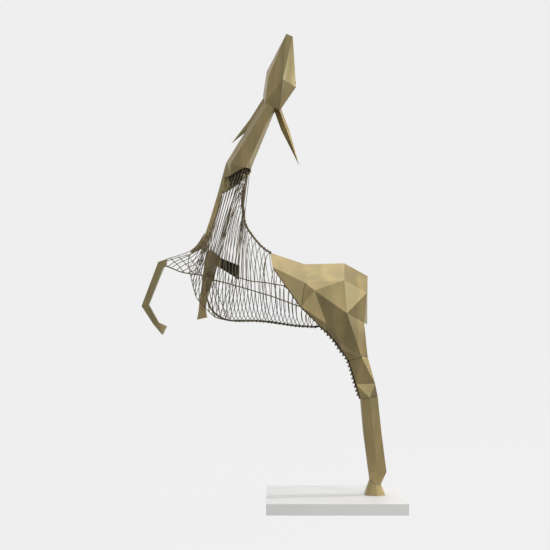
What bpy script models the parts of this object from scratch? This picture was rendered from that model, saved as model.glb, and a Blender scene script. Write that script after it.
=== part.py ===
"""Rearing deer of folded bronze sheet and welded rods, standing on one hind hoof on a white plinth.

Metres, +Z up. The deer faces -X and its left side faces -Y. The origin is the centre of the plinth's underside.
The figure's points are shares of its own height in hundredths: x from the standing hoof's centre, y away from the
figure's middle plane, z up from the hoof. Sheets, rods, plinth and gaps are real sizes of their own.
"""
import math

import bmesh
import bpy
from mathutils import Vector

# Driving sizes
DEER_HEIGHT = 2.30
PLINTH_LENGTH = 0.68
PLINTH_DEPTH = 0.49
PLINTH_THICKNESS = 0.055
HOOF_FROM_PLINTH_CENTRE = 0.20
SHEET_THICKNESS = 0.003
WIRE_DIAMETER = 0.004
CONTOUR_ROD_DIAMETER = 0.009
STRINGER_DIAMETER = 0.006
HOOP_SPACING = 0.0198
RUNG_SPACING = 0.0145
CLEARANCE = 0.0005
TRIM_ALLOWANCE = 0.0001

# How finely round things are drawn
WIRE_SIDES = 3
ROD_SIDES = 6
HALF_HOOP_STEPS = 7
DRAPE_STEPS = 5
ROD_STEPS = 2
# A form is not inflated further at sharper corners than this share of its outward direction
SHARPEST_CORNER = 0.2
# How often the search for a crossing halves its span
CROSSING_HALVINGS = 30

# Surface colours, roughness and metallic value of each finish
BRONZE = ((0.36, 0.29, 0.155, 1.0), 0.42, 1.0)
WIRE_BRONZE = ((0.14, 0.115, 0.07, 1.0), 0.45, 1.0)
WHITE_PAINT = ((0.86, 0.86, 0.85, 1.0), 0.5, 0.0)

# Hindquarters: the near half's corners, mirrored to the far half
RUMP_POINTS = {
    "spine_front": (-22.7, 0.0, 52.5),
    "spine_loin": (-15.2, 0.0, 50.0),
    "spine_croup": (-6.6, 0.0, 50.2),
    "tail_top": (-1.5, 0.0, 47.4),
    "tail_tip": (-1.6, 0.0, 37.0),
    "ridge_front": (-22.1, 4.2, 49.2),
    "ridge_loin": (-15.3, 4.6, 45.9),
    "ridge_croup": (-6.9, 4.4, 46.4),
    "ridge_rear": (-2.0, 3.3, 43.7),
    "haunch": (-13.3, 6.1, 44.2),
    "hip": (-6.5, 7.0, 39.4),
    "tail_side": (-2.5, 2.6, 37.3),
    "rim_flank": (-16.1, 6.3, 40.7),
    "rim_belly": (-12.1, 4.2, 36.7),
    "flank": (-10.8, 5.2, 37.2),
    "stifle": (-9.3, 5.3, 36.2),
    "thigh_fold": (-7.7, 3.9, 33.1),
    "gaskin": (-3.1, 3.3, 29.9),
    "gaskin_back": (-1.7, 2.0, 30.1),
    "front_1": (-10.8, 3.6, 35.7),
    "front_2": (-8.9, 3.0, 33.7),
    "front_3": (-7.4, 2.6, 31.5),
    "front_4": (-5.7, 2.2, 29.1),
    "front_5": (-4.1, 1.8, 24.0),
    "leg_back": (-0.1, 2.0, 24.2),
    "hock_front": (-3.1, 1.5, 20.8),
    "hock_side": (-1.2, 2.0, 21.1),
    "hock_back": (0.5, 1.5, 21.5),
    "cannon_front": (-2.4, 1.3, 13.3),
    "cannon_side": (-0.4, 1.9, 13.3),
    "cannon_back": (1.4, 1.2, 13.3),
    "fetlock_front": (-1.3, 0.9, 4.7),
    "fetlock_side": (0.4, 1.8, 4.8),
    "fetlock_back": (2.5, 0.8, 5.0),
    "pastern_front": (-1.1, 0.7, 3.2),
    "pastern_side": (0.1, 1.5, 2.3),
    "pastern_back": (1.3, 0.7, 2.3),
    "hoof_front": (-2.2, 1.3, 0.0),
    "hoof_side": (0.3, 2.2, 0.0),
    "hoof_back": (2.2, 1.3, 0.0),
}
RUMP_SIDE_FACES = [
    ("spine_front", "spine_loin", "ridge_loin", "ridge_front"),
    ("spine_loin", "spine_croup", "ridge_croup", "ridge_loin"),
    ("spine_croup", "tail_top", "ridge_rear", "ridge_croup"),
    ("ridge_loin", "ridge_croup", "haunch"),
    ("haunch", "ridge_croup", "hip"),
    ("ridge_croup", "ridge_rear", "hip"),
    ("ridge_front", "ridge_loin", "rim_flank"),
    ("ridge_loin", "haunch", "rim_flank"),
    ("haunch", "flank", "rim_belly", "rim_flank"),
    ("haunch", "hip", "stifle", "flank"),
    ("tail_top", "tail_tip", "ridge_rear"),
    ("ridge_rear", "tail_tip", "tail_side"),
    ("ridge_rear", "tail_side", "hip"),
    ("hip", "gaskin", "thigh_fold", "stifle"),
    ("hip", "tail_side", "gaskin"),
    ("tail_side", "gaskin_back", "gaskin"),
    ("rim_belly", "flank", "front_1"),
    ("flank", "stifle", "front_1"),
    ("front_1", "stifle", "front_2"),
    ("stifle", "thigh_fold", "front_2"),
    ("front_2", "thigh_fold", "front_3"),
    ("thigh_fold", "gaskin", "front_4", "front_3"),
    ("front_4", "gaskin", "leg_back", "front_5"),
    ("gaskin", "gaskin_back", "leg_back"),
    ("front_5", "leg_back", "hock_side", "hock_front"),
    ("leg_back", "hock_back", "hock_side"),
    ("hock_front", "hock_side", "cannon_side", "cannon_front"),
    ("hock_side", "hock_back", "cannon_back", "cannon_side"),
    ("cannon_front", "cannon_side", "fetlock_side", "fetlock_front"),
    ("cannon_side", "cannon_back", "fetlock_back", "fetlock_side"),
    ("fetlock_front", "fetlock_side", "pastern_side", "pastern_front"),
    ("fetlock_side", "fetlock_back", "pastern_back", "pastern_side"),
    ("pastern_front", "pastern_side", "hoof_side", "hoof_front"),
    ("pastern_side", "pastern_back", "hoof_back", "hoof_side"),
]
# Each pair here is joined across the middle plane by one face
RUMP_CROSS_EDGES = [
    ("tail_side", "gaskin_back"),
    ("gaskin_back", "leg_back"),
    ("leg_back", "hock_back"),
    ("hock_back", "cannon_back"),
    ("cannon_back", "fetlock_back"),
    ("fetlock_back", "pastern_back"),
    ("pastern_back", "hoof_back"),
    ("hock_front", "cannon_front"),
    ("cannon_front", "fetlock_front"),
    ("fetlock_front", "pastern_front"),
    ("pastern_front", "hoof_front"),
    ("hoof_front", "hoof_side"),
    ("hoof_side", "hoof_back"),
]
# The open front, from the spine down to the hock
RUMP_RIM = ["ridge_front", "rim_flank", "rim_belly", "front_1", "front_2", "front_3", "front_4", "front_5",
            "hock_front"]

# Neck: rings of front edge, near and far flank corners and nape, from the head down to the slanted rim
NECK_POINTS = {
    "top_front": (-23.4, 0.0, 86.4),
    "top_near": (-22.9, -1.3, 85.7),
    "top_nape_near": (-21.5, -1.3, 84.7),
    "top_nape": (-20.9, 0.0, 84.5),
    "top_nape_far": (-21.5, 1.3, 84.7),
    "top_far": (-22.9, 1.3, 85.7),
    "poll_front": (-24.6, 0.0, 84.4),
    "poll_near": (-23.8, -1.6, 83.8),
    "poll_nape_near": (-22.3, -1.5, 82.8),
    "poll_nape": (-21.9, 0.0, 82.8),
    "poll_nape_far": (-22.3, 1.5, 82.8),
    "poll_far": (-23.8, 1.6, 83.8),
    "mid_front": (-30.6, 0.0, 74.8),
    "mid_near": (-29.5, -2.2, 74.1),
    "mid_nape_near": (-27.0, -2.4, 72.5),
    "mid_nape": (-26.2, 0.0, 72.4),
    "mid_nape_far": (-27.0, 2.4, 72.5),
    "mid_far": (-29.5, 2.2, 74.1),
    "low_front": (-32.3, 0.0, 72.0),
    "low_near": (-31.2, -2.2, 71.5),
    "low_nape_near": (-28.1, -2.6, 70.7),
    "low_nape": (-26.9, 0.0, 70.6),
    "low_nape_far": (-28.1, 2.6, 70.7),
    "low_far": (-31.2, 2.2, 71.5),
    "rim_near": (-31.2, -1.7, 69.1),
    "rim_nape_far": (-29.2, 2.4, 68.1),
    "rim_far": (-31.5, 2.0, 66.5),
    "throat_near_0": (-32.6, -0.7, 68.6),
    "throat_far_0": (-33.2, 0.9, 65.4),
}
NECK_RINGS = ["top", "poll", "mid", "low"]
NECK_RING_CORNERS = ["front", "near", "nape_near", "nape", "nape_far", "far"]
NECK_RIM_FACES = [
    ("low_near", "low_nape_near", "rim_near"),
    ("low_front", "low_near", "rim_near", "throat_near_0"),
    ("low_nape_far", "low_nape", "rim_nape_far"),
    ("low_far", "low_nape_far", "rim_nape_far", "rim_far"),
    ("low_front", "throat_far_0", "rim_far", "low_far"),
    ("low_front", "throat_near_0", "throat_front_1"),
    ("low_front", "throat_front_1", "throat_far_0"),
    ("throat_near_0", "throat_near_1", "throat_front_1"),
    ("throat_far_0", "throat_front_1", "throat_far_1"),
]
NECK_OPENING_FACES = [
    ("low_nape", "low_nape_near", "rim_near", "rim_nape_far"),
    ("rim_near", "throat_near_0", "rim_far", "rim_nape_far"),
    ("throat_near_0", "throat_far_0", "rim_far"),
    ("throat_near_0", "throat_near_1", "throat_far_1", "throat_far_0"),
]
# The throat strip: front edge, and how far back and down its two side edges lie
THROAT_FRONT = [(-34.1, 65.3), (-35.7, 60.0), (-36.8, 56.7), (-38.5, 54.2), (-40.1, 52.9)]
THROAT_BACK = [(1.0, -0.5), (1.0, -0.3), (1.1, -0.4), (1.0, -0.8), (0.4, -0.6)]
THROAT_HALF_WIDTHS = [0.75, 0.75, 0.75, 0.65, 0.45]

# Head: nose, brow, jaw and poll corners, all on one convex form
HEAD_POINTS = {
    "nose_left": (-19.2, -0.4, 100.0),
    "nose_right": (-17.8, -0.4, 99.4),
    "nose_back_left": (-19.1, 0.9, 99.7),
    "nose_back_right": (-17.9, 0.9, 99.2),
    "brow_left": (-23.1, -1.3, 90.5),
    "brow_middle": (-20.0, -3.0, 89.5),
    "brow_right": (-17.1, -0.9, 88.3),
    "cheek_left": (-23.5, 1.3, 92.1),
    "cheek_right": (-17.9, 1.4, 90.2),
    "jaw": (-20.3, 3.1, 88.6),
    "poll_left": (-23.8, -1.4, 84.8),
    "poll_right": (-20.6, -1.5, 83.1),
    "poll_back_left": (-24.3, 1.4, 86.8),
    "poll_back_right": (-20.5, 1.6, 84.6),
}
# Ears: two base corners, two mid corners and a tip. The fold between the corners stands out towards the near side
EAR_FOLD_SHARE = 0.65
EAR_FOLD_HEIGHT = 0.9
EAR_BACK_SHARE = 0.5
EAR_BACK_HEIGHT = 0.3
EARS = {
    "right": {
        "base": ((-22.4, 0.3, 85.0), (-20.8, 0.7, 85.2)),
        "middle": ((-20.3, 0.9, 79.3), (-18.5, 0.9, 79.2)),
        "tip": (-16.3, 1.7, 71.6),
    },
    "left": {
        "base": ((-23.5, 0.6, 87.4), (-22.4, 0.6, 85.6)),
        "middle": ((-27.1, 1.7, 81.9), (-25.8, 1.7, 80.8)),
        "tip": (-31.3, 2.6, 76.6),
    },
}

# Forelegs: outer corner, inner corner, depth of the middle and half depth, from the shoulder to the sole
NEAR_FORELEG = [
    ((-44.7, 50.9), (-44.8, 49.5), -3.9, 0.85),
    ((-46.5, 50.3), (-45.4, 49.1), -3.9, 0.90),
    ((-50.0, 40.9), (-48.5, 41.2), -4.3, 0.85),
    ((-47.5, 37.0), (-46.4, 37.4), -4.3, 0.60),
    ((-45.6, 34.8), (-44.7, 36.6), -4.3, 0.85),
]
FAR_FORELEG = [
    ((-29.4, 49.8), (-29.6, 46.7), 2.9, 1.0),
    ((-33.4, 51.4), (-33.6, 49.2), 3.3, 1.0),
    ((-35.8, 53.5), (-34.7, 49.8), 3.7, 1.0),
    ((-36.7, 52.8), (-35.0, 49.4), 3.7, 1.0),
    ((-37.6, 46.9), (-35.4, 46.7), 3.5, 0.95),
    ((-38.2, 42.4), (-36.7, 42.6), 3.3, 0.75),
    ((-38.5, 39.6), (-36.9, 40.0), 3.1, 0.65),
    ((-38.8, 37.9), (-36.6, 38.4), 3.0, 0.90),
]

# The far foreleg's slanted mouth: (x, depth) of its cut on the near and far walls, and the cut-away block's length
FAR_MOUTH = [(-32.9, 2.1), (-29.5, 3.9)]
FAR_MOUTH_BLOCK = 8.0

# Rods of the cage in the middle plane: nape and back, the chest's front, the belly and its branch to the far foreleg
BACK_ROD = [(-26.9, 70.4), (-27.7, 69.2), (-28.3, 67.0), (-28.7, 64.5), (-28.6, 62.0), (-28.0, 58.7),
            (-26.8, 56.6), (-25.3, 54.7), (-24.0, 53.4), (-22.5, 52.4)]
CHEST_ROD = [(-39.9, 52.7), (-40.5, 50.5), (-40.0, 47.6), (-39.0, 43.5), (-38.1, 41.9), (-36.3, 40.0),
             (-34.8, 38.6), (-33.0, 38.0)]
BELLY_ROD = [(-30.5, 37.7), (-26.3, 37.7), (-23.4, 37.5), (-20.5, 37.1), (-17.0, 36.6), (-12.7, 36.35)]
BREAST_BRANCH = [(-37.2, 3.2, 43.6), (-36.4, 2.6, 42.0), (-35.7, 1.5, 40.4), (-34.3, 0.6, 39.0), (-32.4, 0.1, 38.0)]
# Rods along the sides, from the near foreleg and from the far foreleg back to the hindquarters
NEAR_STRINGER = [(-44.9, 49.5), (-41.7, 48.2), (-39.6, 47.8), (-37.2, 47.4), (-34.7, 46.5), (-29.4, 45.1),
                 (-22.4, 43.0), (-16.1, 40.7)]
NEAR_STRINGER_DEPTHS = [3.9, 4.3, 4.6, 4.8]
FAR_STRINGER = [(-30.2, 47.4), (-27.2, 46.5), (-24.0, 46.2), (-19.0, 45.3)]
# Top of the sleeve, from the near foreleg to the throat strip's tip
SLEEVE_TOP = [(-44.9, -3.9, 50.8), (-42.0, -2.6, 51.9), (-39.9, -0.2, 52.6)]
# How far the sleeve's rings swell to its far side
SLEEVE_RING_DEPTH = 1.0

# Where the hoops end along the belly, and the cage's half widths there
FIRST_HOOP_X = -34.4
LAST_HOOP_X = -12.9
CAGE_HALF_WIDTHS = [(-40.0, 4.8), (-36.4, 5.3), (-30.0, 5.9), (-22.7, 6.2), (-16.1, 6.6), (-12.1, 4.6)]
# How far a hoop that ends there bows along the body for each unit that it stands out, on the near and the far side
NEAR_HOOP_BOWS = [(-34.4, 0.46), (-28.4, 0.27), (-12.9, 0.26)]
FAR_HOOP_BOWS = [(-34.4, 0.27), (-12.9, 0.26)]
# On the far side the bow fades towards the back, over the upper part of the hoop
FAR_BOW_FADE = 1.5
# How far wires stand off the neck's slanted rim, and which way its mouth faces
COLLAR_GAP = 0.0015
NECK_MOUTH_DIRECTION = (0.45, 0.0, -0.89)
# Near wires from the sleeve, the throat strip and the neck's rim: the share of them that starts before each ends
NEAR_THROAT_WIRES = 13
SLEEVE_SHARE = 0.42
STRIP_SHARE = 0.70
# How far they swell sideways, from the first to the last, and how far those past the sleeve sag
NEAR_SWELL = (0.3, 1.1)
NEAR_SAG = 0.93
FAR_THROAT_WIRES = 7
FAR_STRIP_SHARE = 0.3
FAR_SWELL = (2.0, 4.6)
# Where on the chest's front the far wires and the chest wires end, as shares of its length
FAR_WIRES_END_FROM = 0.15
CHEST_WIRES_END_FROM = 0.3
CHEST_WIRES = 5
# A side wire's swell over its start's width, so that it leaves its start outwards
LEAST_SWELL = 1.02


def share(value):
    """A length in metres from hundredths of the deer's height."""
    return value * DEER_HEIGHT / 100.0


def place(x, y, z):
    """A point in metres from the figure's hundredths."""
    return Vector((HOOF_FROM_PLINTH_CENTRE + share(x), share(y), PLINTH_THICKNESS + CLEARANCE + share(z)))


def smooth_line(points, steps):
    """Points along a Catmull-Rom curve through the given points, ends included."""
    points = [Vector(point) for point in points]
    guides = [2 * points[0] - points[1]] + points + [2 * points[-1] - points[-2]]
    line = []
    for index in range(len(points) - 1):
        before, start, end, after = guides[index:index + 4]
        for step in range(steps):
            t = step / steps
            line.append(0.5 * (2 * start + (end - before) * t + (2 * before - 5 * start + 4 * end - after) * t ** 2
                               + (3 * start - before - 3 * end + after) * t ** 3))
    line.append(points[-1])
    return line


def line_length(line):
    """Length of a line of points."""
    return sum((b - a).length for a, b in zip(line, line[1:]))


def along(line, fraction):
    """The point at a fraction of the line's length."""
    wanted = fraction * line_length(line)
    for a, b in zip(line, line[1:]):
        step = (b - a).length
        if wanted <= step:
            return a.lerp(b, wanted / step)
        wanted -= step
    return line[-1].copy()


def height_at(line, x):
    """The line's height at x, for a line that runs towards +X, with its end slopes continued."""
    for a, b in zip(line, line[1:]):
        if x <= b.x:
            break
    return a.z + (b.z - a.z) * (x - a.x) / (b.x - a.x)


def value_at(table, x):
    """A value between the table's neighbouring places, level beyond its ends."""
    for (x0, value0), (x1, value1) in zip(table, table[1:]):
        if x <= x1:
            part = max(0.0, (x - x0) / (x1 - x0))
            return value0 + (value1 - value0) * part
    return table[-1][1]


def material(name, finish):
    """A Principled material of one colour."""
    color, roughness, metallic = finish
    made = bpy.data.materials.new(name)
    made.use_nodes = True
    shader = made.node_tree.nodes["Principled BSDF"]
    shader.inputs["Base Color"].default_value = color
    shader.inputs["Roughness"].default_value = roughness
    shader.inputs["Metallic"].default_value = metallic
    return made


def add_object(name, bm, finish=None):
    """An object of the mesh, in the scene."""
    mesh = bpy.data.meshes.new(name)
    bm.to_mesh(mesh)
    made = bpy.data.objects.new(name, mesh)
    bpy.context.scene.collection.objects.link(made)
    if finish:
        mesh.materials.append(material(name + "_finish", finish))
    return made


def add_cutter(name, bm, collection=None):
    """A guide object that cuts or joins others and is no part of the model."""
    made = add_object(name, bm)
    made.hide_render = True
    made.display_type = "WIRE"
    if collection:
        bpy.context.scene.collection.objects.unlink(made)
        collection.objects.link(made)
    return made


def faceted_form(points, faces, opening_faces):
    """A closed form of flat faces, so that both skins of a sheet fold along the same lines.

    Returns its mesh and the faces that stand for its opening.
    """
    bm = bmesh.new()
    corners = {name: bm.verts.new(point) for name, point in points.items()}
    walls = [bm.faces.new([corners[name] for name in face]) for face in faces]
    opening = [bm.faces.new([corners[name] for name in face]) for face in opening_faces]
    bmesh.ops.recalc_face_normals(bm, faces=bm.faces)
    bmesh.ops.triangulate(bm, faces=walls, quad_method="SHORT_EDGE")
    opening = bmesh.ops.triangulate(bm, faces=opening, quad_method="SHORT_EDGE")["faces"]
    return bm, opening


def inflate(bm, distance):
    """Moves the corners of a closed form outwards until each of its faces has moved by the distance."""
    bm.normal_update()
    shifts = []
    for vert in bm.verts:
        least = min(face.normal.dot(vert.normal) for face in vert.link_faces)
        shifts.append(vert.normal * distance / max(least, SHARPEST_CORNER))
    for vert, shift in zip(bm.verts, shifts):
        vert.co += shift


def larger_form(name, bm, distance=CLEARANCE):
    """A cutter larger than the form by the distance all round, for what ends on the form or inside it."""
    cutter = bm.copy()
    inflate(cutter, distance)
    return add_cutter(name, cutter)


def sheet_shell(name, bm, opening, finish):
    """The form as folded sheet of one thickness, open where its opening was and cut off flush with it."""
    trimmer = larger_form(name + "_trimmer", bm, TRIM_ALLOWANCE)
    bmesh.ops.delete(bm, geom=opening, context="FACES")
    shell = add_object(name, bm, finish)
    fold = shell.modifiers.new("sheet", "SOLIDIFY")
    fold.thickness = SHEET_THICKNESS
    fold.offset = -1.0
    fold.solidify_mode = "NON_MANIFOLD"
    fold.nonmanifold_thickness_mode = "CONSTRAINTS"
    boolean(shell, "INTERSECT", trimmer)
    return shell


def boolean(target, operation, cutter=None, collection=None):
    """A Boolean of the target with one other object, or with every object of a collection."""
    cut = target.modifiers.new(operation.lower(), "BOOLEAN")
    cut.operation = operation
    cut.solver = "MANIFOLD"
    if collection:
        cut.operand_type = "COLLECTION"
        cut.collection = collection
    else:
        cut.object = cutter


def hindquarters_form():
    """Rump, tail, thigh and hind leg as one closed form, with the open front's faces."""
    points = {}
    for name, (x, y, z) in RUMP_POINTS.items():
        points[name] = place(x, -y, z)
        if y > 0.0:
            points[name + "*"] = place(x, y, z)

    def mirrored(name):
        return name + "*" if name + "*" in points else name

    faces = []
    for face in RUMP_SIDE_FACES:
        faces.append(face)
        faces.append([mirrored(name) for name in reversed(face)])
    faces.append(("tail_side", "tail_tip", "tail_side*"))
    for a, b in RUMP_CROSS_EDGES:
        faces.append((a, b, mirrored(b), mirrored(a)))
    opening = [("spine_front", "ridge_front", "ridge_front*")]
    for a, b in zip(RUMP_RIM, RUMP_RIM[1:]):
        opening.append((a, b, mirrored(b), mirrored(a)))
    return faceted_form(points, faces, opening)


def neck_form():
    """Neck and throat strip as one closed form, with the faces of the slanted mouth."""
    points = {name: place(*point) for name, point in NECK_POINTS.items()}
    last = len(THROAT_FRONT)
    for index in range(last):
        x, z = THROAT_FRONT[index]
        back, down = THROAT_BACK[index]
        half = THROAT_HALF_WIDTHS[index]
        points[f"throat_front_{index + 1}"] = place(x, 0.0, z)
        points[f"throat_near_{index + 1}"] = place(x + back, -half, z + down)
        points[f"throat_far_{index + 1}"] = place(x + back, half, z + down)
    faces = [[f"top_{corner}" for corner in NECK_RING_CORNERS]]
    for upper, lower in zip(NECK_RINGS, NECK_RINGS[1:]):
        for a, b in zip(NECK_RING_CORNERS, NECK_RING_CORNERS[1:] + NECK_RING_CORNERS[:1]):
            faces.append((f"{upper}_{a}", f"{upper}_{b}", f"{lower}_{b}", f"{lower}_{a}"))
    faces += NECK_RIM_FACES
    opening = list(NECK_OPENING_FACES)
    for index in range(1, last):
        for side in ("near", "far"):
            faces.append((f"throat_front_{index}", f"throat_{side}_{index}", f"throat_{side}_{index + 1}",
                          f"throat_front_{index + 1}"))
        opening.append((f"throat_near_{index}", f"throat_near_{index + 1}", f"throat_far_{index + 1}",
                        f"throat_far_{index}"))
    faces.append((f"throat_front_{last}", f"throat_near_{last}", f"throat_far_{last}"))
    return faceted_form(points, faces, opening)


def convex_form(points):
    """The convex form on the points."""
    bm = bmesh.new()
    for point in points:
        bm.verts.new(point)
    bmesh.ops.convex_hull(bm, input=bm.verts)
    bmesh.ops.recalc_face_normals(bm, faces=bm.faces)
    return bm


def ear_form(ear):
    """A long folded ear: a fold towards the near side, between two edges that run to one tip."""
    rings = []
    for left, right in (ear["base"], ear["middle"]):
        left, right = Vector(left), Vector(right)
        fold = left.lerp(right, EAR_FOLD_SHARE) - Vector((0.0, EAR_FOLD_HEIGHT, 0.0))
        back = left.lerp(right, EAR_BACK_SHARE) + Vector((0.0, EAR_BACK_HEIGHT, 0.0))
        rings.append([place(*corner) for corner in (left, fold, right, back)])
    points = {f"{ring}_{index}": rings[ring][index] for ring in range(2) for index in range(4)}
    points["tip"] = place(*ear["tip"])
    faces = [("0_0", "0_1", "0_2", "0_3")]
    for index in range(4):
        following = (index + 1) % 4
        faces.append((f"0_{index}", f"0_{following}", f"1_{following}", f"1_{index}"))
        faces.append((f"1_{index}", f"1_{following}", "tip"))
    return faceted_form(points, faces, [])[0]


def limb_form(sections):
    """A four-sided limb through its sections, with its first end as the opening."""
    points = {}
    for index, (outer, inner, depth, half) in enumerate(sections):
        points[f"{index}_0"] = place(outer[0], depth - half, outer[1])
        points[f"{index}_1"] = place(outer[0], depth + half, outer[1])
        points[f"{index}_2"] = place(inner[0], depth + half, inner[1])
        points[f"{index}_3"] = place(inner[0], depth - half, inner[1])
    last = len(sections) - 1
    faces = [[f"{last}_{corner}" for corner in range(4)]]
    for index in range(last):
        for corner in range(4):
            following = (corner + 1) % 4
            faces.append((f"{index}_{corner}", f"{index}_{following}", f"{index + 1}_{following}",
                          f"{index + 1}_{corner}"))
    return faceted_form(points, faces, [[f"0_{corner}" for corner in range(4)]])


def mouth_cutter():
    """A block whose slanted side cuts the far foreleg's upper arm, so that its near wall is the shorter one."""
    (x, near_depth), (far_x, far_depth) = FAR_MOUTH
    near = place(x, near_depth, 0.0)
    far = place(far_x, far_depth, 0.0)
    slant = far - near
    corners = [near - slant, far + slant]
    corners += [corner + Vector((share(FAR_MOUTH_BLOCK), 0.0, 0.0)) for corner in reversed(corners)]
    bm = bmesh.new()
    low = [bm.verts.new(corner) for corner in corners]
    high = [bm.verts.new(corner + Vector((0.0, 0.0, DEER_HEIGHT))) for corner in corners]
    bm.faces.new(low)
    bm.faces.new(high)
    for index in range(4):
        after = (index + 1) % 4
        bm.faces.new((low[index], low[after], high[after], high[index]))
    bmesh.ops.recalc_face_normals(bm, faces=bm.faces)
    return add_cutter("far_foreleg_mouth", bm)


def add_tube(bm, line, diameter, sides, closed=False):
    """Adds a tube with flat ends along the line, or a ring where the line is closed."""
    count = len(line)
    tangents = []
    for index in range(count):
        before = line[index - 1] if closed or index > 0 else line[0]
        after = line[(index + 1) % count] if closed or index < count - 1 else line[-1]
        tangents.append((after - before).normalized())
    side = tangents[0].orthogonal().normalized()
    rings = []
    for point, tangent in zip(line, tangents):
        side = (side - tangent * side.dot(tangent)).normalized()
        up = tangent.cross(side)
        ring = []
        for index in range(sides):
            angle = 2 * math.pi * (index + 0.5) / sides
            ring.append(bm.verts.new(point + (side * math.cos(angle) + up * math.sin(angle)) * diameter / 2))
        rings.append(ring)
    spans = list(zip(rings, rings[1:]))
    if closed:
        first = rings[0]
        shift = min(range(sides), key=lambda turn: (first[turn].co - rings[-1][0].co).length)
        spans.append((rings[-1], first[shift:] + first[:shift]))
    for ring, following in spans:
        for index in range(sides):
            after = (index + 1) % sides
            bm.faces.new((ring[index], ring[after], following[after], following[index]))
    if not closed:
        bm.faces.new(list(reversed(rings[0])))
        bm.faces.new(rings[-1])


def side_line(points):
    """A line in the middle plane from (x, z) points in hundredths."""
    return smooth_line([place(x, 0.0, z) for x, z in points], ROD_STEPS)


def hoop_bow(side, x):
    """How far a half hoop that ends at x bows along the body for each unit that it stands out."""
    table = FAR_HOOP_BOWS if side > 0 else NEAR_HOOP_BOWS
    return value_at([(place(end, 0.0, 0.0).x, bow) for end, bow in table], x)


def half_hoop(start, start_width, end, width, side, crossing_line=None):
    """A wire from a start at some width down round the cage to the end on the middle plane.

    It swells to the given width. The near side bows forwards and the far side backwards. Where it passes the
    crossing line's height it has a point of its own, which is returned too.
    """
    first = math.asin(min(1.0, start_width / width))
    rise = 1.0 + math.cos(first)
    lean = hoop_bow(side, end.x)

    def point(angle):
        part = (1.0 + math.cos(angle)) / rise
        out = width * math.sin(angle)
        bow = side * lean * (out - start_width * part)
        if side > 0:
            bow *= min(1.0, FAR_BOW_FADE * (1.0 - part))
        return Vector((end.x + (start.x - end.x) * part + bow, side * out, end.z + (start.z - end.z) * part))

    angles = [first + (math.pi - first) * step / HALF_HOOP_STEPS for step in range(HALF_HOOP_STEPS + 1)]
    crossing = None
    if crossing_line:
        low, high = first, math.pi
        for _ in range(CROSSING_HALVINGS):
            middle = (low + high) / 2
            spot = point(middle)
            if spot.z > height_at(crossing_line, spot.x):
                low = middle
            else:
                high = middle
        crossing = point(low)
        nearest = min(range(1, len(angles) - 1), key=lambda index: abs(angles[index] - low))
        angles[nearest] = low
        angles.sort()
    return [point(angle) for angle in angles], crossing


def rim_points(side):
    """The hindquarters' front rim on one side, from the spine down to the belly."""
    names = ["spine_front", "ridge_front", "rim_flank", "rim_belly"]
    return [place(x, side * y, z) for x, y, z in (RUMP_POINTS[name] for name in names)]


def at_x(line, x):
    """The point where a line that runs towards +X passes x."""
    for a, b in zip(line, line[1:]):
        if x <= b.x:
            break
    part = min(1.0, max(0.0, (x - a.x) / (b.x - a.x)))
    return a.lerp(b, part)


def neck_collar():
    """A wire just under the neck's slanted rim, from the throat strip up the near side and down the far side."""
    drop = Vector(NECK_MOUTH_DIRECTION) * (WIRE_DIAMETER / 2 + COLLAR_GAP)
    near = ["throat_near_0", "rim_near", "low_nape_near", "low_nape"]
    far = ["low_nape", "rim_nape_far", "rim_far", "throat_far_0"]
    near_line = [place(*NECK_POINTS[name]) + drop for name in near]
    far_line = [place(*NECK_POINTS[name]) + drop for name in far]
    return near_line, far_line


def strip_edge(side):
    """One back edge of the throat strip, from its tip up to the neck."""
    corners = zip(THROAT_FRONT, THROAT_BACK, THROAT_HALF_WIDTHS)
    line = [place(x + back, side * half, z + down) for (x, z), (back, down), half in corners]
    return list(reversed(line))


def piecewise(lines, ends, fraction):
    """A point on several lines in a row, each of which holds the fractions up to its own end."""
    start = 0.0
    for line, end in zip(lines, ends):
        if fraction <= end:
            return along(line, (fraction - start) / (end - start))
        start = end
    return lines[-1][-1]


def drape(start, end, swell, side, sag=0.0):
    """A wire from one side point to another, swelling sideways and sagging below its chord on the way."""
    line = []
    for step in range(DRAPE_STEPS + 1):
        t = step / DRAPE_STEPS
        point = start.lerp(end, t)
        point.y += side * swell * math.sin(math.pi * t)
        point.x -= sag * math.sin(math.pi * t)
        point.z -= sag * math.sin(math.pi * t)
        line.append(point)
    return line


def hoop_wires(back, chest, near_guide, far_guide):
    """The hoops round chest and belly, and where they cross the two stringers."""
    widths = [(place(x, 0.0, 0.0).x, share(width)) for x, width in CAGE_HALF_WIDTHS]
    first_x = place(FIRST_HOOP_X, 0.0, 0.0).x
    last_x = place(LAST_HOOP_X, 0.0, 0.0).x
    hoops = round((last_x - first_x) / HOOP_SPACING)
    full_hoops = round((back[-1].x - first_x) / HOOP_SPACING)
    wires = []
    crossings = {-1: [], 1: []}
    for index in range(hoops + 1):
        x = first_x + (last_x - first_x) * index / hoops
        end = at_x(chest, x)
        width = value_at(widths, x)
        if index < full_hoops:
            start = along(back, (index + 0.5) / full_hoops)
            near, near_cross = half_hoop(start, 0.0, end, width, -1, near_guide)
            far, far_cross = half_hoop(start, 0.0, end, width, 1, far_guide)
            wires.append((near + list(reversed(far[1:-1])), True))
            crossings[-1].append(near_cross)
            if far_cross.x > far_guide[0].x + HOOP_SPACING:
                crossings[1].append(far_cross)
            continue
        for side, guide in ((-1, near_guide), (1, far_guide)):
            rim = rim_points(side)
            start = at_x(rim, x + side * hoop_bow(side, x) * abs(at_x(rim, x).y))
            start_width = abs(start.y)
            crosses = start.z > height_at(guide, start.x) + WIRE_DIAMETER
            swell = max(width, start_width * LEAST_SWELL)
            wire, cross = half_hoop(start, start_width, end, swell, side, guide if crosses else None)
            wires.append((wire, False))
            if crosses:
                crossings[side].append(cross)
    return wires, crossings[-1], crossings[1]


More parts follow.
